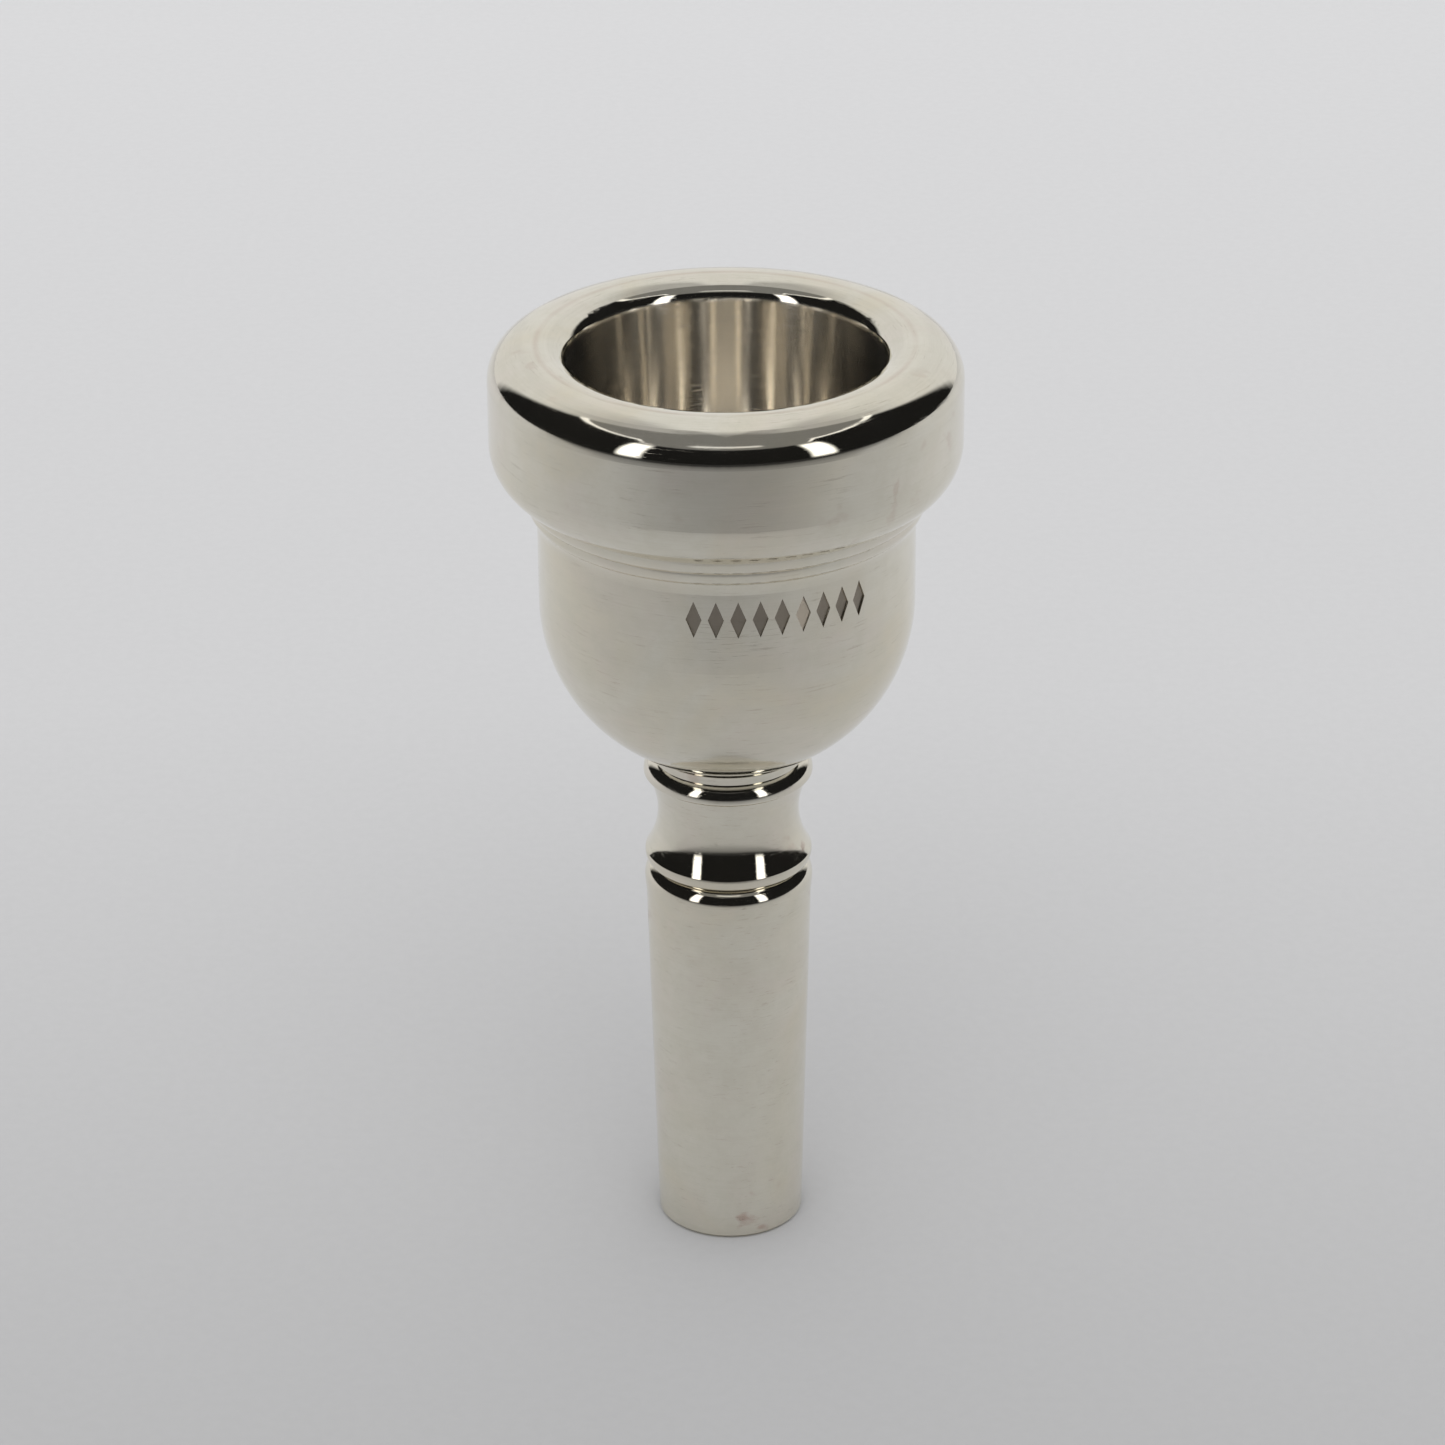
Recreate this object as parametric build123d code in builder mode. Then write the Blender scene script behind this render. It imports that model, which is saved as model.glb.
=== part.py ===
"""Trombone mouthpiece with a screw rim and a screw-in shank, standing on the shank's tip.

Frame: millimetres, origin at the centre of the shank's tip face, +Z up along the bore axis.
Each metal piece is turned from bar, so its profile is drawn on XZ, where x is the radius.
"""

import os
from math import asin, cos, radians, sin, sqrt, tan

from build123d import *

# ---- overall ----
overall_height = 81.8
rim_radius = 19.55
opening_radius = 13.0
neck_radius = 15.7
tip_radius = 6.25
shank_slope = 1 / 40  # change of radius along the length, a 1:20 taper

# ---- rim: the bite, the two halves of the face and the outer edge are tangent arcs ----
bite_lean = radians(30)  # slope where the bite meets the face
inner_face_arc = 3.7
outer_face_arc = 6.0
edge_arc = 2.85
edge_lean = radians(21.5)  # slope where the face meets the outer edge
band_foot = 73.4  # foot of the rim's upright band
underside_arc = 4.2
underside_foot = 69.6

# ---- two reeds, one on the rim and one on the cup, meet at the joint ----
rim_joint = 68.4
reed_top_radius = 17.0
reed_middle_radius = 16.5
reed_foot_radius = 16.05
reed_foot = 67.3
reed_bulge = 0.16
neck_top = 66.2

# ---- bowl of the cup, outside ----
bowl_arc = 15.0
bowl_height = 59.2
cup_foot_radius = 6.4
cup_foot_fillet = 0.8
cup_joint = 44.4  # where the cup and the shank part

# ---- shank piece, outside, from the collar down ----
collar_radius = 7.18
collar_height = 43.0
collar_arc = 1.6
waist_radius = 6.0
waist_height = 39.3
waist_arc = 6.8
waist_top = 42.7
waist_foot = 35.65
bead_radius = 7.1
bead_height = 35.25
bead_foot_radius = 6.6
bead_foot = 34.45
shoulder_radius = 7.16
shoulder_height = 33.0
shoulder_arc = 1.7
shoulder_foot = 31.3
tip_rounding = 0.3

# ---- inside: wall, bowl, throat and backbore ----
wall_lean = radians(4)  # between the wall of the cup and its axis
wall_foot_height = 66.45
inner_arc = 13.55
inner_lean = radians(64)
throat_radius = 3.5
backbore_top = 49.0
backbore_middle_height = 22.0
backbore_middle_radius = 4.75
backbore_tip_radius = 5.45

# ---- right-hand threads ----
pitch = 1.0
thread_depth = 0.6
ridge_sink = 0.15  # how deep a ridge's foot lies in the wall that it stands on
ridge_foot = 0.36  # half the width of a ridge at its foot
ridge_crest = 0.08  # and at its crest
running_gap = 0.05
thread_end = 0.6  # plain length at each end of a thread
rim_thread_radius = 14.5
rim_spigot_foot = 63.0
shank_thread_radius = 5.5
shank_spigot_top = 50.6
spigot_chamfer = 0.3
end_gap = 0.1  # between a spigot's end and the floor of its socket

# ---- seal rings, one at the root of each spigot ----
seal_section = 0.8
seal_gap = 0.03
root_relief = 0.15

# ---- row of lozenges cut in the cup ----
lozenge_width = 1.3
lozenge_height = 3.2
lozenge_depth = 0.15
lozenge_count = 9
lozenge_spacing = 6.6  # degrees
lozenge_start = -100  # degrees
lozenge_level = 64.0

os.makedirs("parts", exist_ok=True)


def polar(centre, radius, angle):
    """The point of a circle at an angle from the +x direction, in radians."""
    return (centre[0] + radius * cos(angle), centre[1] + radius * sin(angle))


def bulged(start, end, bulge):
    """The middle of a shallow arc that stands off its chord by bulge, to the left going from start."""
    start, end = Vector(start), Vector(end)
    chord = end - start
    return (start + end) / 2 + Vector(-chord.Y, chord.X).normalized() * bulge


def thread_ridge(wall_radius, rise, bottom, top, phase):
    """A right-hand helical ridge standing on a round wall, outwards for a positive rise.

    All ridges with one phase lie on one helix; the teeth of a socket are half a turn from its spigot's.
    """
    sink = -ridge_sink if rise > 0 else ridge_sink
    with BuildPart() as ridge:
        with BuildLine():
            path = Helix(pitch=pitch, height=top - bottom, radius=wall_radius, center=(0, 0, bottom))
        with BuildSketch(Plane(origin=path @ 0, x_dir=(1, 0, 0), z_dir=path % 0)):
            with BuildLine():
                Polyline(
                    (sink, -ridge_foot),
                    (rise, -ridge_crest),
                    (rise, ridge_crest),
                    (sink, ridge_foot),
                    close=True,
                )
            make_face()
        sweep(path=path, is_frenet=True)
    return ridge.part.rotate(Axis.Z, 360 * (bottom / pitch + phase))


# ---- worked-out points of the rim ----
right_angle = radians(90)
crest_radius = rim_radius - edge_arc * (1 - sin(edge_lean)) - outer_face_arc * sin(edge_lean)
bite_width = crest_radius - opening_radius - inner_face_arc * sin(bite_lean)
bite_arc = bite_width / (1 - sin(bite_lean))
inner_face_centre = (crest_radius, overall_height - inner_face_arc)
outer_face_centre = (crest_radius, overall_height - outer_face_arc)
face_inner = polar(inner_face_centre, inner_face_arc, right_angle + bite_lean)
inner_face_middle = polar(inner_face_centre, inner_face_arc, right_angle + bite_lean / 2)
outer_face_middle = polar(outer_face_centre, outer_face_arc, right_angle - edge_lean / 2)
face_outer = polar(outer_face_centre, outer_face_arc, right_angle - edge_lean)
bite_centre = (opening_radius + bite_arc, face_inner[1] - bite_arc * cos(bite_lean))
bite_middle = polar(bite_centre, bite_arc, (3 * right_angle + bite_lean) / 2)
edge_centre = (rim_radius - edge_arc, face_outer[1] - edge_arc * cos(edge_lean))
edge_middle = polar(edge_centre, edge_arc, (right_angle - edge_lean) / 2)
underside_centre = (rim_radius - underside_arc, band_foot)
underside_turn = asin((band_foot - underside_foot) / underside_arc)

# ---- worked-out points of the bowl, inside and outside ----
wall_foot_radius = opening_radius - (bite_centre[1] - wall_foot_height) * tan(wall_lean)
inner_centre = (
    wall_foot_radius - inner_arc * cos(wall_lean),
    wall_foot_height + inner_arc * sin(wall_lean),
)
inner_end = polar(inner_centre, inner_arc, -inner_lean)
throat_arc = (inner_end[0] - throat_radius) / (1 - cos(inner_lean))
throat_centre = (throat_radius + throat_arc, inner_end[1] - throat_arc * sin(inner_lean))
bowl_centre = (neck_radius - bowl_arc, bowl_height)
fillet_reach = bowl_arc + cup_foot_fillet
fillet_run = cup_foot_radius + cup_foot_fillet - bowl_centre[0]
fillet_drop = sqrt(fillet_reach**2 - fillet_run**2)
bowl_lean = asin(fillet_drop / fillet_reach)
fillet_centre = (cup_foot_radius + cup_foot_fillet, bowl_height - fillet_drop)

# ---- worked-out sizes of the joints ----
rim_core_radius = rim_thread_radius - thread_depth
rim_socket_radius = rim_thread_radius + running_gap
rim_socket_floor = rim_spigot_foot - end_gap
shank_core_radius = shank_thread_radius - thread_depth
shank_socket_radius = shank_thread_radius + running_gap
shank_socket_top = shank_spigot_top + end_gap
spigot_turn = asin((inner_centre[1] - rim_spigot_foot) / inner_arc)
socket_turn = asin((inner_centre[1] - rim_socket_floor) / inner_arc)
spigot_mouth = polar(inner_centre, inner_arc, -spigot_turn)
spigot_phase = 0
socket_phase = 0.5

# ---- worked-out places of the seals ----
seal_radius = seal_section / 2
seat_depth = seal_section + 2 * seal_gap
rim_seat_radius = rim_thread_radius + seat_depth
rim_seat_foot = rim_joint - seat_depth
shank_root_radius = shank_core_radius - root_relief
shank_seat_radius = shank_root_radius + seat_depth
shank_seat_top = cup_joint + seat_depth
rim_thread_span = (rim_spigot_foot + thread_end, rim_seat_foot - thread_end)
shank_thread_span = (shank_seat_top + thread_end, shank_spigot_top - thread_end)

# ---- rim ----
with BuildPart() as rim:
    with BuildSketch(Plane.XZ):
        with BuildLine():
            wall = Line((wall_foot_radius, wall_foot_height), (opening_radius, bite_centre[1]))
            ThreePointArc(wall @ 1, bite_middle, face_inner)
            ThreePointArc(face_inner, inner_face_middle, (crest_radius, overall_height))
            ThreePointArc((crest_radius, overall_height), outer_face_middle, face_outer)
            edge = ThreePointArc(face_outer, edge_middle, (rim_radius, edge_centre[1]))
            band = Line(edge @ 1, (rim_radius, band_foot))
            underside = ThreePointArc(
                band @ 1,
                polar(underside_centre, underside_arc, -underside_turn / 2),
                polar(underside_centre, underside_arc, -underside_turn),
            )
            lip = Line(underside @ 1, (reed_top_radius, underside_foot))
            reed_end = (reed_middle_radius, rim_joint)
            ThreePointArc(lip @ 1, bulged(lip @ 1, reed_end, reed_bulge), reed_end)
            Polyline(
                reed_end,
                (rim_thread_radius, rim_joint),
                (rim_thread_radius, rim_seat_foot),
                (rim_core_radius, rim_seat_foot),
                (rim_core_radius, rim_spigot_foot + spigot_chamfer),
                (rim_core_radius - spigot_chamfer, rim_spigot_foot),
                spigot_mouth,
            )
            spigot_middle = polar(inner_centre, inner_arc, -(spigot_turn + wall_lean) / 2)
            ThreePointArc(spigot_mouth, spigot_middle, wall @ 0)
        make_face()
    revolve(axis=Axis.Z)
    add(thread_ridge(rim_core_radius, thread_depth, *rim_thread_span, spigot_phase))
rim.part.label = "rim"
export_step(rim.part, "parts/rim.step")

# ---- seal ring between the rim and the cup ----
with BuildPart() as rim_seal:
    with BuildSketch(Plane.XZ):
        with Locations((rim_thread_radius + seat_depth / 2, rim_joint - seat_depth / 2)):
            Circle(seal_radius)
    revolve(axis=Axis.Z)
rim_seal.part.label = "rim_seal"
export_step(rim_seal.part, "parts/rim_seal.step")

# ---- cup ----
with BuildPart() as cup:
    with BuildSketch(Plane.XZ):
        with BuildLine():
            Polyline(
                polar(inner_centre, inner_arc, -socket_turn),
                (rim_socket_radius, rim_socket_floor),
                (rim_socket_radius, rim_seat_foot),
                (rim_seat_radius, rim_seat_foot),
                (rim_seat_radius, rim_joint),
                (reed_middle_radius, rim_joint),
            )
            reed_start = (reed_middle_radius, rim_joint)
            reed_end = (reed_foot_radius, reed_foot)
            neck_start = (neck_radius, neck_top)
            ThreePointArc(reed_start, bulged(reed_start, reed_end, reed_bulge), reed_end)
            ThreePointArc(reed_end, bulged(reed_end, neck_start, -reed_bulge / 2), neck_start)
            neck = Line(neck_start, (neck_radius, bowl_height))
            bowl = ThreePointArc(
                neck @ 1,
                polar(bowl_centre, bowl_arc, -bowl_lean / 2),
                polar(bowl_centre, bowl_arc, -bowl_lean),
            )
            foot = ThreePointArc(
                bowl @ 1,
                polar(fillet_centre, cup_foot_fillet, 2 * right_angle - bowl_lean / 2),
                (cup_foot_radius, fillet_centre[1]),
            )
            Polyline(
                foot @ 1,
                (cup_foot_radius, cup_joint),
                (shank_seat_radius, cup_joint),
                (shank_seat_radius, shank_seat_top),
                (shank_socket_radius, shank_seat_top),
                (shank_socket_radius, shank_socket_top),
                (throat_radius, shank_socket_top),
                (throat_radius, throat_centre[1]),
            )
            entrance = ThreePointArc(
                (throat_radius, throat_centre[1]),
                polar(throat_centre, throat_arc, 2 * right_angle - inner_lean / 2),
                inner_end,
            )
            ThreePointArc(
                entrance @ 1,
                polar(inner_centre, inner_arc, -(inner_lean + socket_turn) / 2),
                polar(inner_centre, inner_arc, -socket_turn),
            )
        make_face()
    revolve(axis=Axis.Z)
    add(thread_ridge(rim_socket_radius, -thread_depth, *rim_thread_span, socket_phase))
    add(thread_ridge(shank_socket_radius, -thread_depth, *shank_thread_span, socket_phase))
    lozenge_planes = [
        Plane(
            origin=Vector(neck_radius - lozenge_depth, 0, lozenge_level).rotate(Axis.Z, angle),
            x_dir=Vector(0, 1, 0).rotate(Axis.Z, angle),
            z_dir=Vector(1, 0, 0).rotate(Axis.Z, angle),
        )
        for angle in (lozenge_start + lozenge_spacing * number for number in range(lozenge_count))
    ]
    with BuildSketch(*lozenge_planes):
        with BuildLine():
            Polyline(
                (-lozenge_width / 2, 0),
                (0, -lozenge_height / 2),
                (lozenge_width / 2, 0),
                (0, lozenge_height / 2),
                close=True,
            )
        make_face()
    extrude(amount=2 * lozenge_depth, mode=Mode.SUBTRACT)
cup.part.label = "cup"
export_step(cup.part, "parts/cup.step")

# ---- seal ring between the cup and the shank ----
with BuildPart() as shank_seal:
    with BuildSketch(Plane.XZ):
        with Locations((shank_root_radius + seat_depth / 2, cup_joint + seat_depth / 2)):
            Circle(seal_radius)
    revolve(axis=Axis.Z)
shank_seal.part.label = "shank_seal"
export_step(shank_seal.part, "parts/shank_seal.step")

# ---- shank ----
with BuildPart() as shank:
    with BuildSketch(Plane.XZ):
        with BuildLine():
            backbore = ThreePointArc(
                (backbore_tip_radius, 0),
                (backbore_middle_radius, backbore_middle_height),
                (throat_radius, backbore_top),
            )
            spigot = Polyline(
                backbore @ 1,
                (throat_radius, shank_spigot_top),
                (shank_core_radius - spigot_chamfer, shank_spigot_top),
                (shank_core_radius, shank_spigot_top - spigot_chamfer),
                (shank_core_radius, shank_seat_top),
                (shank_root_radius, shank_seat_top),
                (shank_root_radius, cup_joint),
            )
            collar_centre = (collar_radius - collar_arc, collar_height)
            collar_turn = asin((cup_joint - collar_height) / collar_arc)
            collar_end = polar(collar_centre, collar_arc, collar_turn)
            Line(spigot @ 1, collar_end)
            ThreePointArc(
                collar_end,
                polar(collar_centre, collar_arc, collar_turn / 2),
                (collar_radius, collar_height),
            )
            waist_centre = (waist_radius + waist_arc, waist_height)
            waist_upper = asin((waist_top - waist_height) / waist_arc)
            waist_lower = asin((waist_height - waist_foot) / waist_arc)
            waist = ThreePointArc(
                polar(waist_centre, waist_arc, 2 * right_angle - waist_upper),
                (waist_radius, waist_height),
                polar(waist_centre, waist_arc, 2 * right_angle + waist_lower),
            )
            Spline((collar_radius, collar_height), waist @ 0, tangents=[(0, -1), waist % 0])
            shoulder_centre = (shoulder_radius - shoulder_arc, shoulder_height)
            shoulder_turn = asin((bead_foot - shoulder_height) / shoulder_arc)
            shoulder_end = polar(shoulder_centre, shoulder_arc, shoulder_turn)
            bead = ThreePointArc(waist @ 1, (bead_radius, bead_height), (bead_foot_radius, bead_foot))
            Line(bead @ 1, shoulder_end)
            shoulder = ThreePointArc(
                shoulder_end,
                polar(shoulder_centre, shoulder_arc, shoulder_turn / 2),
                (shoulder_radius, shoulder_height),
            )
            taper_top = (tip_radius + shank_slope * shoulder_foot, shoulder_foot)
            flare = Spline(shoulder @ 1, taper_top, tangents=[(0, -1), (-shank_slope, -1)])
            taper = Line(flare @ 1, (tip_radius + shank_slope * tip_rounding, tip_rounding))
            tip = RadiusArc(taper @ 1, (tip_radius - tip_rounding, 0), -tip_rounding)
            Line(tip @ 1, backbore @ 0)
        make_face()
    revolve(axis=Axis.Z)
    add(thread_ridge(shank_core_radius, thread_depth, *shank_thread_span, spigot_phase))
shank.part.label = "shank"
export_step(shank.part, "parts/shank.step")
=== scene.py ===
"""A silver-plated trombone mouthpiece standing on its tip, on pale paper in a small photo studio.

All five pieces are the CAD nodes themselves. This script gives them their plating and rubber,
and makes the paper they stand on, the studio that the polished metal mirrors, the lamps and the
camera.
"""

import math

import bpy
from mathutils import Matrix, Vector

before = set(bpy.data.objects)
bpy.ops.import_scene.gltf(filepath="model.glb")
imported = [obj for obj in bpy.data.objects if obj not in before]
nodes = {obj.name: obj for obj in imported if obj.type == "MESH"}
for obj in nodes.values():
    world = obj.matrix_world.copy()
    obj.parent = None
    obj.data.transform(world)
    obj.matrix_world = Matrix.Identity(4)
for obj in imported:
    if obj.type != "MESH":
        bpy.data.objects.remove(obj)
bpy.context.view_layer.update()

# camera: metres, degrees, and millimetres of a 36 mm sensor
CAMERA_DISTANCE = 0.40084
CAMERA_HEIGHT = 0.24489
CAMERA_SIDE = -0.00045
CAMERA_PITCH = 26.258
CAMERA_ROLL = -0.3766
CAMERA_LENS = 131.92
SENSOR = 36.0
CLIP_NEAR = 0.01
CLIP_FAR = 20.0

# silver: linear colours
SILVER = (0.82, 0.79, 0.695, 1.0)
SILVER_WARM = (0.79, 0.725, 0.575, 1.0)
# a lighter silver painted within the cup: painted light that brightens the hollow
SILVER_INSIDE_PAINTED_LIGHT = (0.965, 0.925, 0.85, 1.0)
SILVER_PINK = (0.80, 0.73, 0.655, 1.0)
SILVER_DULL = (0.735, 0.705, 0.60, 1.0)
TARNISH = (0.46, 0.26, 0.21, 1.0)
ENGRAVED = (0.30, 0.235, 0.18, 1.0)

# silver: noises, each with its scale per metre, detail, roughness and distortion
FINE_LINES = (9000.0, 3.0, 0.65)
BROAD_LINES = (1500.0, 2.0, 0.5)
SCRATCHES = (5200.0, 4.0, 0.75, 0.25)
WIPES = (700.0, 3.0, 0.6, 0.6)
CROWDING = (230.0, 3.0, 0.6)
SMUDGES = (110.0, 4.0, 0.6, 0.4)
WAVES = (75.0, 1.0, 0.4)
WARMTH = (62.0, 3.0, 0.55, 0.8)
BLUSH = (135.0, 4.0, 0.6, 0.5)
MOTTLE = (520.0, 5.0, 0.7)
SPOTS = (420.0, 2.0, 0.5, 0.3)
SPOT_PATCHES = (75.0, 1.0, 0.5)
RING_WEAR = (160.0, 3.0, 0.6)
SCRATCH_STRETCH = 0.0009
WIPE_STRETCH = 0.004

# silver: ramps, each from one value to another, and what it gives at each where that isn't 0 and 1
SCRATCH_RAMP = (0.57, 0.67)
CROWDING_RAMP = (0.42, 0.60, 0.25, 1.0)
SMUDGE_RAMP = (0.45, 0.75)
WARMTH_RAMP = (0.42, 0.68)
BLUSH_RAMP = (0.44, 0.66, 0.0, 0.45)
MOTTLE_RAMP = (0.40, 0.72, 0.0, 0.55)
GRAIN_RAMP = (0.38, 0.62, 0.0, 0.40)
SPOT_RAMP = (0.61, 0.74)
PATCH_RAMP = (0.55, 0.66)
RING_RAMP = (0.35, 0.65, 0.06, 0.24)

# silver: places on the object, in metres
SPOTS_THIN_OUT = (0.046, 0.060, 1.0, 0.35)
CREST_RADII = (0.01535, 0.01570, 0.0005)
CREST_HEIGHT = (0.0800, 0.0812)
LOZENGE_HEIGHTS = (0.0605, 0.0668, 0.0002)
LOZENGE_RADII = (0.0145, 0.01562, 0.00006)
INSIDE_HEIGHT = (0.0520, 0.0535)
INSIDE_RADIUS = (0.01302, 0.01314, 1.0, 0.0)

# silver: shares of each colour, then of roughness, then heights in the bump's own distance
WARMTH_SHARE = 0.75
GRAIN_SHARE = 0.5
SCRATCH_SHARE = 0.22
SPOT_SHARE = 0.50
ENGRAVED_SHARE = 0.62
POLISH = 0.045
SMUDGE_ROUGHNESS = 0.035
INSIDE_ROUGHNESS = 0.075
SCRATCH_ROUGHNESS = 0.10
SPOT_ROUGHNESS = 0.12
ENGRAVED_ROUGHNESS = 0.30
FINE_RELIEF = 0.05
BROAD_RELIEF = 0.12
SCRATCH_RELIEF = 0.10
WIPE_RELIEF = 0.20
WAVE_RELIEF = 1.6
SILVER_BUMP = 0.000012
QUARTER_TURN = 0.25

# rubber
RUBBER = (0.012, 0.012, 0.013, 1.0)
DUST = (0.07, 0.067, 0.062, 1.0)
RUBBER_GRAIN = (6000.0, 4.0, 0.6)
DUST_NOISE = (900.0, 5.0, 0.7)
DUST_RAMP = (0.52, 0.75)
DUST_SHARE = 0.5
RUBBER_ROUGHNESS = (0.3, 0.7, 0.42, 0.62)
RUBBER_BUMP = 0.00002
RUBBER_BUMP_STRENGTH = 0.6

# paper: metres, and its painted shade, darker to the front and paler to the back, and darker still
# where the metal mirrors it
PAPER_SIZE = 6.0
PAPER_FIBRE = (900.0, 4.0, 0.6)
FIBRE_RAMP = (0.3, 0.7, 0.99, 1.01)
PAINTED_FALLOFF_NEAR = (-0.05, 0.10, 0.475, 0.64)
PAINTED_FALLOFF_FAR = (0.10, 0.32, 0.0, 0.085)
MIRRORED_PAINTED_SHADE = (
    (-0.12, -0.05, 0.90, 1.0),
    (-0.19, -0.12, 0.66, 1.0),
    (-0.58, -0.19, 0.13, 1.0),
)
BLACK = (0.0, 0.0, 0.0, 1.0)
PAPER_WHITE = (1.0, 1.0, 1.012, 1.0)

# studio that the metal mirrors: linear brightness
DARK_ROOM = 0.011
ROOF = 0.20
BACK_WALL = 0.74
SOFT_BOX = 2.2
LIGHT_LINE = 1.1
FRONT_LINE = 0.62
MIRRORED_TINT = (1.0, 0.995, 0.985, 1.0)
PAPER_LIGHT = 0.82

# studio: degrees round the object from the camera's side, and degrees above the table
ROOF_EDGE_TOP = 72.0
ROOF_EDGE_DROP = 18.0
ROOF_EDGE_CLIMB = (58.0, 110.0, 1.0, 0.0)
ROOF_EDGE_START = (46.0, 58.0, 1.23, 1.0)
ROOF_EDGE_SOFT = (-1.0, 1.0)
LINE_WIDTH = (-1.3, 1.3, 1.2)
LINE_REACH = (50.0, 128.0, 8.0)
FRONT_LINE_RISE = (51.5, 56.5, 2.0)
FRONT_LINE_REACH = (18.0, 26.0, 1.0, 0.0)
WALL_SIDE = (0.0, 55.0, 137.0, 124.0)
WALL_SIDE_SOFT = (-5.0, 5.0)
WALL_MIDDLE = (150.0, 172.0)
WALL_MIDDLE_GAIN = 1.05
WALL_FADE = (40.0, 62.0, 1.0, 0.62)
WALL_TOP = (70.0, 84.0, 1.0, 0.36)
BOX_REACH = (40.5, 52.0, 4.0)
BOX_RISE = (2.0, 42.0, 9.0)

# lamps: metres and watts
LAMP_SIZE = 0.8
WINDOW_PLACE = (0.0, 0.55, 0.75)
WINDOW_ENERGY = 0.45
FILL_PLACE = (0.0, -0.50, 0.80)
FILL_ENERGY = 2.0


class Nodes:
    """A material's or world's node tree, with short ways to add and join nodes."""

    def __init__(self, owner):
        owner.use_nodes = True
        self.tree = owner.node_tree
        self.tree.nodes.clear()

    def add(self, kind, **values):
        node = self.tree.nodes.new(kind)
        for name, value in values.items():
            setattr(node, name, value)
        return node

    def join(self, source, target):
        self.tree.links.new(source, target)

    def feed(self, socket, value):
        """Sets a socket to a number or colour, or joins another node's output to it."""
        if value is None:
            return
        if isinstance(value, bpy.types.NodeSocket):
            self.join(value, socket)
        else:
            socket.default_value = value

    def math(self, operation, first, second=None):
        node = self.add("ShaderNodeMath", operation=operation)
        for socket, value in zip(node.inputs, (first, second)):
            self.feed(socket, value)
        return node.outputs[0]

    def times(self, first, second):
        return self.math("MULTIPLY", first, second)

    def plus(self, first, second):
        return self.math("ADD", first, second)

    def ramp(self, value, low, high, start=0.0, end=1.0, smooth=True):
        """Goes from start at low to end at high, and stays there beyond them."""
        curve = "SMOOTHSTEP" if smooth else "LINEAR"
        node = self.add("ShaderNodeMapRange", interpolation_type=curve)
        names = ("Value", "From Min", "From Max", "To Min", "To Max")
        for name, setting in zip(names, (value, low, high, start, end)):
            self.feed(node.inputs[name], setting)
        return node.outputs["Result"]

    def between(self, value, low, high, soft):
        """1 between low and high, fading to 0 over the width soft, centred on each."""
        half = soft / 2
        rise = self.ramp(value, low - half, low + half)
        fall = self.ramp(value, high - half, high + half, 1.0, 0.0)
        return self.times(rise, fall)

    def mix(self, share, first, second):
        node = self.add("ShaderNodeMix", data_type="RGBA")
        self.feed(node.inputs[0], share)
        self.feed(node.inputs[6], first)
        self.feed(node.inputs[7], second)
        return node.outputs[2]

    def point(self, x, y, z=0.0):
        node = self.add("ShaderNodeCombineXYZ")
        for socket, value in zip(node.inputs, (x, y, z)):
            self.feed(socket, value)
        return node.outputs[0]

    def split(self, vector):
        node = self.add("ShaderNodeSeparateXYZ")
        self.join(vector, node.inputs[0])
        return node.outputs

    def place(self):
        """The point on the surface, in metres."""
        return self.add("ShaderNodeTexCoord").outputs["Object"]

    def noise(self, vector, scale, detail, rough, warp=0.0):
        node = self.add("ShaderNodeTexNoise")
        self.feed(node.inputs["Vector"], vector)
        node.inputs["Scale"].default_value = scale
        node.inputs["Detail"].default_value = detail
        node.inputs["Roughness"].default_value = rough
        node.inputs["Distortion"].default_value = warp
        return node.outputs["Fac"]

    def bump(self, height, distance, strength, shader):
        node = self.add("ShaderNodeBump")
        node.inputs["Strength"].default_value = strength
        node.inputs["Distance"].default_value = distance
        self.join(height, node.inputs["Height"])
        self.join(node.outputs["Normal"], shader.inputs["Normal"])

    def background(self, tint, strength=1.0):
        node = self.add("ShaderNodeBackground")
        node.inputs["Color"].default_value = tint
        self.feed(node.inputs["Strength"], strength)
        return node.outputs[0]

    def choose(self, share, first, second):
        node = self.add("ShaderNodeMixShader")
        for socket, value in zip(node.inputs, (share, first, second)):
            self.join(value, socket)
        return node.outputs[0]

    def surface(self, shader):
        out = self.add("ShaderNodeOutputMaterial")
        self.join(shader.outputs[0], out.inputs["Surface"])


def colour(red, green, blue):
    """A colour from 8-bit sRGB values."""
    def linear(c):
        c /= 255
        return c / 12.92 if c <= 0.04045 else ((c + 0.055) / 1.055) ** 2.4
    return (linear(red), linear(green), linear(blue), 1.0)


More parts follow.
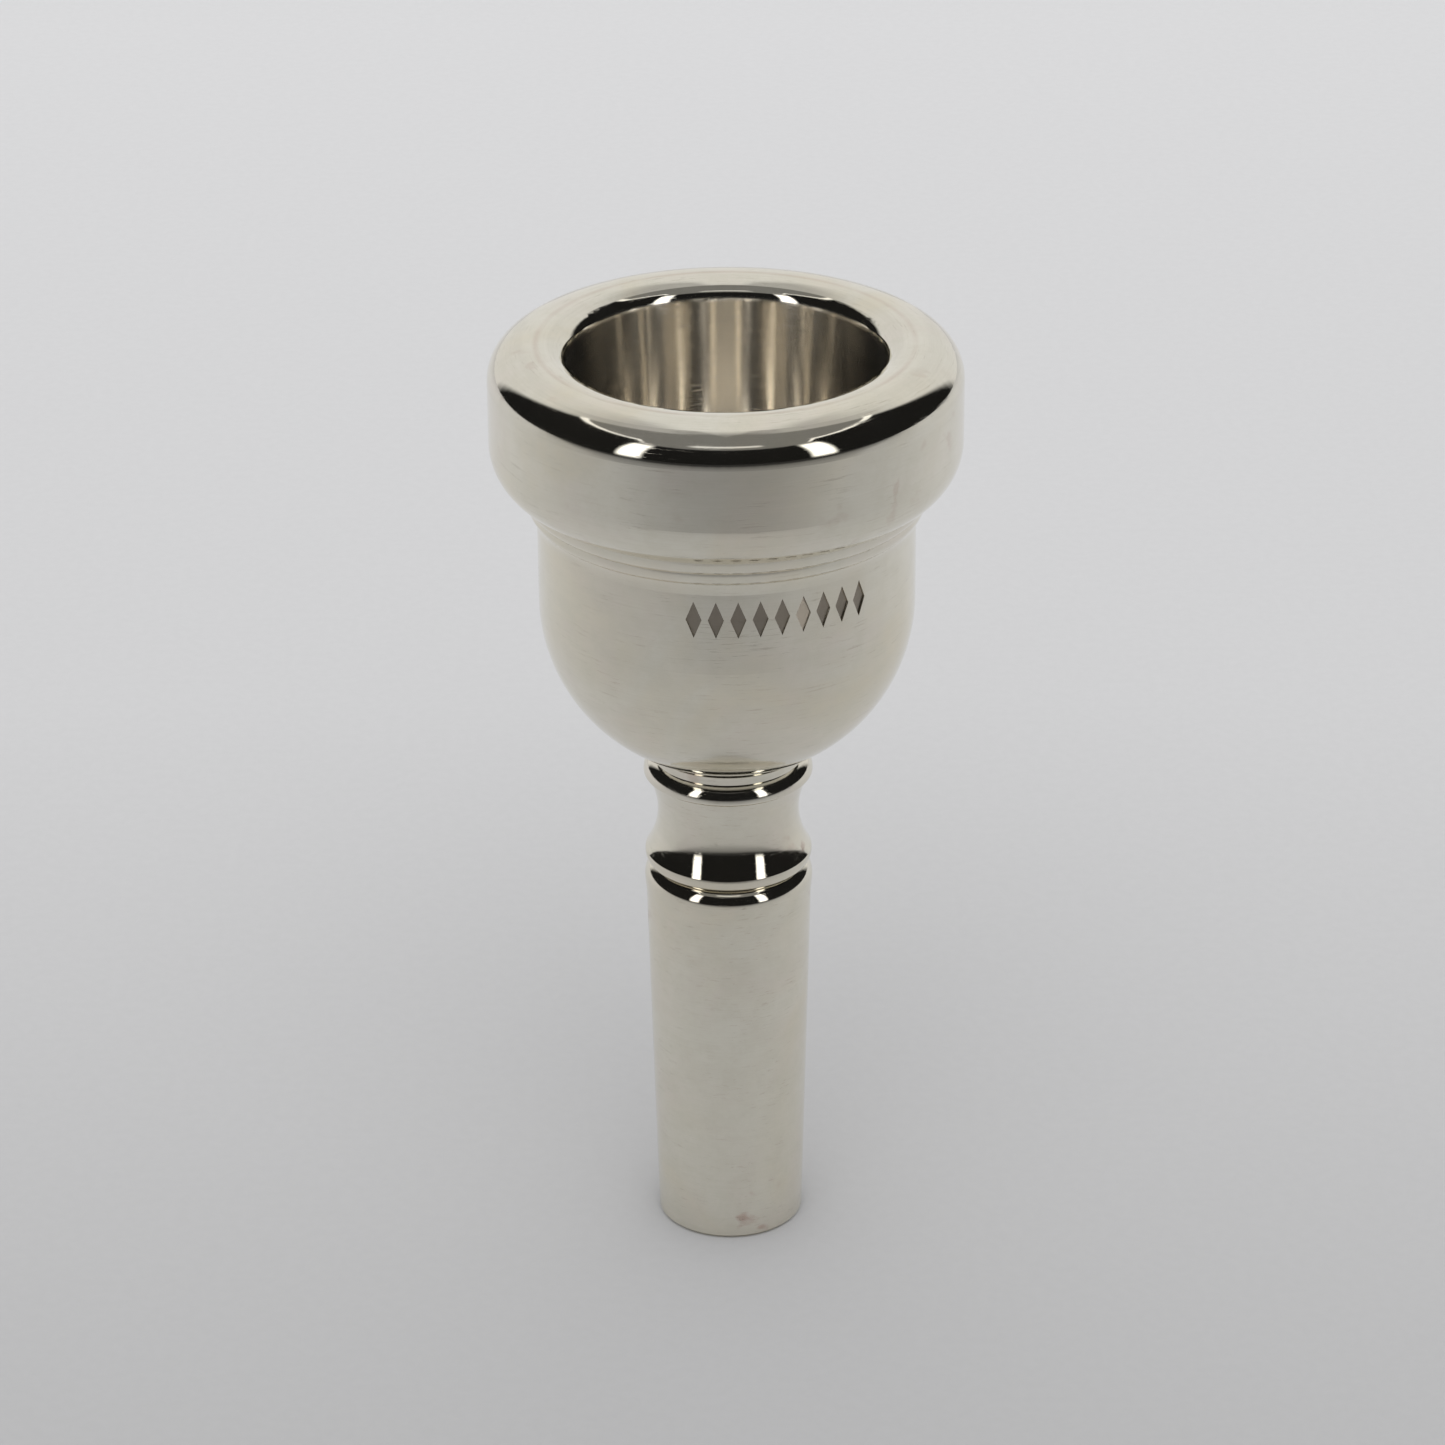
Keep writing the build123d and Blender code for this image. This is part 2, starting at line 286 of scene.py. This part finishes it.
def silver_plate():
    """Polished silver: lathe lines, fine scratches, warm tarnish and darkened engraving."""
    material = bpy.data.materials.new("silver_plate")
    n = Nodes(material)
    shader = n.add("ShaderNodeBsdfPrincipled")
    n.surface(shader)
    place = n.place()
    x, y, z = n.split(place)
    radius = n.math("SQRT", n.plus(n.times(x, x), n.times(y, y)))
    turn = n.math("ARCTAN2", y, x)

    # lathe lines: they change with height and radius only
    fine_lines = n.noise(n.point(radius, z), *FINE_LINES)
    broad_lines = n.noise(n.point(radius, z), *BROAD_LINES)
    # scratches and wipe marks: long round the turning axis, short across it
    scratches = n.noise(n.point(n.times(turn, SCRATCH_STRETCH), radius, z), *SCRATCHES)
    crowded = n.ramp(n.noise(place, *CROWDING), *CROWDING_RAMP)
    scratch = n.times(n.ramp(scratches, *SCRATCH_RAMP), crowded)
    wipes = n.noise(n.point(n.times(turn, WIPE_STRETCH), radius, z), *WIPES)

    # colour: neutral silver, warmer, pinker and duller in patches
    warmth = n.ramp(n.noise(place, *WARMTH), *WARMTH_RAMP)
    tint = n.mix(n.times(warmth, WARMTH_SHARE), SILVER, SILVER_WARM)
    tint = n.mix(n.ramp(n.noise(place, *BLUSH), *BLUSH_RAMP), tint, SILVER_PINK)
    tint = n.mix(n.ramp(n.noise(place, *MOTTLE), *MOTTLE_RAMP), tint, SILVER_DULL)
    grain = n.plus(n.times(fine_lines, GRAIN_SHARE), n.times(wipes, GRAIN_SHARE))
    tint = n.mix(n.ramp(grain, *GRAIN_RAMP), tint, SILVER_DULL)
    tint = n.mix(n.times(scratch, SCRATCH_SHARE), tint, ENGRAVED)
    # a few small reddish spots, mostly below the cup
    patches = n.ramp(n.noise(place, *SPOT_PATCHES), *PATCH_RAMP)
    patches = n.times(patches, n.ramp(z, *SPOTS_THIN_OUT))
    spot = n.times(n.ramp(n.noise(place, *SPOTS), *SPOT_RAMP), patches)
    tint = n.mix(n.times(spot, SPOT_SHARE), tint, TARNISH)
    # a faint pinkish ring of wear along the rim's crest
    ring = n.times(n.between(radius, *CREST_RADII), n.ramp(z, *CREST_HEIGHT))
    ring = n.times(ring, n.ramp(n.noise(place, *RING_WEAR), *RING_RAMP))
    tint = n.mix(ring, tint, TARNISH)
    # engraving: the only silver between these heights that lies under the neck's skin
    cut = n.times(n.between(z, *LOZENGE_HEIGHTS), n.between(radius, *LOZENGE_RADII))
    tint = n.mix(n.times(cut, ENGRAVED_SHARE), tint, ENGRAVED)
    # within the cup: a brushed finish, and a lighter silver that is painted light brightening the
    # hollow; both were chosen
    inside = n.times(n.ramp(z, *INSIDE_HEIGHT), n.ramp(radius, *INSIDE_RADIUS))
    tint = n.mix(inside, tint, SILVER_INSIDE_PAINTED_LIGHT)
    n.join(tint, shader.inputs["Base Color"])

    dull = n.times(n.ramp(n.noise(place, *SMUDGES), *SMUDGE_RAMP), SMUDGE_ROUGHNESS)
    marks = (
        (inside, INSIDE_ROUGHNESS),
        (scratch, SCRATCH_ROUGHNESS),
        (spot, SPOT_ROUGHNESS),
        (cut, ENGRAVED_ROUGHNESS),
    )
    for mark, roughness in marks:
        dull = n.plus(dull, n.times(mark, roughness))
    n.join(n.plus(dull, POLISH), shader.inputs["Roughness"])

    relief = n.times(fine_lines, FINE_RELIEF)
    relief = n.plus(relief, n.times(broad_lines, BROAD_RELIEF))
    relief = n.math("SUBTRACT", relief, n.times(scratch, SCRATCH_RELIEF))
    relief = n.plus(relief, n.times(wipes, WIPE_RELIEF))
    relief = n.plus(relief, n.times(n.noise(place, *WAVES), WAVE_RELIEF))
    n.bump(relief, SILVER_BUMP, 1.0, shader)

    # reflections smear across the lathe's lines, not along them
    shader.inputs["Metallic"].default_value = 1.0
    shader.inputs["Anisotropic"].default_value = 1.0
    shader.inputs["Anisotropic Rotation"].default_value = QUARTER_TURN
    round_axis = n.add("ShaderNodeTangent", direction_type="RADIAL", axis="Z")
    n.join(round_axis.outputs[0], shader.inputs["Tangent"])
    return material


def seal_rubber():
    """Black nitrile rubber: a moulding's fine grain, a little dust."""
    material = bpy.data.materials.new("seal_rubber")
    n = Nodes(material)
    shader = n.add("ShaderNodeBsdfPrincipled")
    n.surface(shader)
    place = n.place()
    grain = n.noise(place, *RUBBER_GRAIN)
    dust = n.ramp(n.noise(place, *DUST_NOISE), *DUST_RAMP)
    n.join(n.mix(n.times(dust, DUST_SHARE), RUBBER, DUST), shader.inputs["Base Color"])
    n.join(n.ramp(grain, *RUBBER_ROUGHNESS), shader.inputs["Roughness"])
    n.bump(grain, RUBBER_BUMP, RUBBER_BUMP_STRENGTH, shader)
    return material


def dress(names, material):
    for name in names:
        for place in nodes[name].material_slots:
            place.material = material


def paper():
    """The paper: pale to the eye, but painted with shade that darkens it towards the front. The
    metal mirrors it painted darker still to the front, a painted falloff of the light on it.
    """
    mesh = bpy.data.meshes.new("paper")
    half = PAPER_SIZE / 2
    corners = [(-half, -half, 0), (half, -half, 0), (half, half, 0), (-half, half, 0)]
    mesh.from_pydata(corners, [], [(0, 1, 2, 3)])
    top = bpy.data.objects.new("paper", mesh)
    bpy.context.scene.collection.objects.link(top)
    material = bpy.data.materials.new("paper")
    n = Nodes(material)
    place = n.place()
    depth = n.split(place)[1]
    # painted shade: the paper's colour is darker towards the front and paler towards the back,
    # standing in for the fall of the light
    pale = n.ramp(depth, *PAINTED_FALLOFF_NEAR, smooth=False)
    pale = n.plus(pale, n.ramp(depth, *PAINTED_FALLOFF_FAR, smooth=False))
    # painted shade: where the metal mirrors the paper, the paper is painted darker still towards
    # the front
    first, *others = (n.ramp(depth, *step, smooth=False) for step in MIRRORED_PAINTED_SHADE)
    painted_shade_in_reflections = first
    for step in others:
        painted_shade_in_reflections = n.times(painted_shade_in_reflections, step)
    mirrored = n.add("ShaderNodeLightPath").outputs["Is Glossy Ray"]
    shade = n.times(pale, n.ramp(mirrored, 0.0, 1.0, 1.0, painted_shade_in_reflections, smooth=False))
    fibre_and_painted_shade = n.times(shade, n.ramp(n.noise(place, *PAPER_FIBRE), *FIBRE_RAMP))
    shader = n.add("ShaderNodeBsdfDiffuse")
    n.join(n.mix(fibre_and_painted_shade, BLACK, PAPER_WHITE), shader.inputs["Color"])
    n.surface(shader)
    mesh.materials.append(material)


def studio():
    """The room: a white wall behind, a grey roof, two soft boxes in front, and darkness between.

    Turn 0 is where the camera stands. The eye sees a plain pale room, the paper gets an even
    soft light from it, and only the metal mirrors the panels.
    """
    world = bpy.data.worlds.new("studio")
    bpy.context.scene.world = world
    n = Nodes(world)
    x, y, z = n.split(n.add("ShaderNodeTexCoord").outputs["Generated"])
    degrees = math.degrees(1)
    rise = n.times(n.math("ARCSINE", z), degrees)
    turn = n.times(n.math("ARCTAN2", x, n.times(y, -1.0)), degrees)
    away = n.math("ABSOLUTE", turn)

    # the roof's front edge is a bright line that climbs from the soft boxes to the sides
    early = n.ramp(away, *ROOF_EDGE_CLIMB, smooth=False)
    early = n.math("MAXIMUM", early, n.ramp(away, *ROOF_EDGE_START, smooth=False))
    edge = n.math("SUBTRACT", ROOF_EDGE_TOP, n.times(ROOF_EDGE_DROP, n.times(early, early)))
    over = n.math("SUBTRACT", rise, edge)
    line = n.times(n.between(over, *LINE_WIDTH), n.between(away, *LINE_REACH))
    roof = n.times(n.ramp(over, *ROOF_EDGE_SOFT), ROOF)
    front_line = n.times(n.between(rise, *FRONT_LINE_RISE), n.ramp(away, *FRONT_LINE_REACH))

    # the wall behind is widest at its top, and fades into the roof
    side = n.ramp(rise, *WALL_SIDE, smooth=False)
    wall = n.ramp(n.math("SUBTRACT", away, side), *WALL_SIDE_SOFT)
    middle = n.times(n.ramp(away, *WALL_MIDDLE), WALL_MIDDLE_GAIN)
    fade = n.math("MAXIMUM", n.ramp(rise, *WALL_FADE), middle)
    fade = n.times(fade, n.ramp(rise, *WALL_TOP))
    wall = n.times(wall, n.times(fade, BACK_WALL))

    boxes = n.times(n.between(away, *BOX_REACH), n.between(rise, *BOX_RISE))
    room = n.plus(n.math("MAXIMUM", wall, roof), DARK_ROOM)
    for panel, brightness in ((boxes, SOFT_BOX), (line, LIGHT_LINE), (front_line, FRONT_LINE)):
        room = n.plus(room, n.times(panel, brightness))

    path = n.add("ShaderNodeLightPath")
    mirrored = n.background(MIRRORED_TINT, room)
    seen = n.background(colour(217, 217, 219))
    soft = n.background((1.0, 1.0, 1.0, 1.0), PAPER_LIGHT)
    unseen = n.choose(path.outputs["Is Glossy Ray"], soft, mirrored)
    out = n.add("ShaderNodeOutputWorld")
    n.join(n.choose(path.outputs["Is Camera Ray"], unseen, seen), out.inputs["Surface"])


def lamp(name, place, energy):
    """A large soft lamp, aimed at the object's foot, that only lights the paper and the seals."""
    light = bpy.data.lights.new(name, "AREA")
    light.shape = "DISK"
    light.size = LAMP_SIZE
    light.energy = energy
    body = bpy.data.objects.new(name, light)
    bpy.context.scene.collection.objects.link(body)
    body.location = place
    body.rotation_euler = (-Vector(place)).to_track_quat("-Z", "Y").to_euler()
    body.visible_glossy = False
    body.visible_camera = False


def camera():
    lens = bpy.data.cameras.new("camera")
    lens.lens = CAMERA_LENS
    lens.sensor_width = SENSOR
    lens.clip_start = CLIP_NEAR
    lens.clip_end = CLIP_FAR
    view = bpy.data.objects.new("camera", lens)
    bpy.context.scene.collection.objects.link(view)
    look_down = Matrix.Rotation(math.radians(90 - CAMERA_PITCH), 4, "X")
    roll = Matrix.Rotation(math.radians(CAMERA_ROLL), 4, "Z")
    place = Matrix.Translation(Vector((CAMERA_SIDE, -CAMERA_DISTANCE, CAMERA_HEIGHT)))
    view.matrix_world = place @ look_down @ roll
    bpy.context.scene.camera = view


dress(("rim", "cup", "shank"), silver_plate())
dress(("rim_seal", "shank_seal"), seal_rubber())
paper()
studio()
lamp("window", WINDOW_PLACE, WINDOW_ENERGY)
lamp("fill", FILL_PLACE, FILL_ENERGY)
camera()
bpy.context.scene.view_settings.view_transform = "Standard"
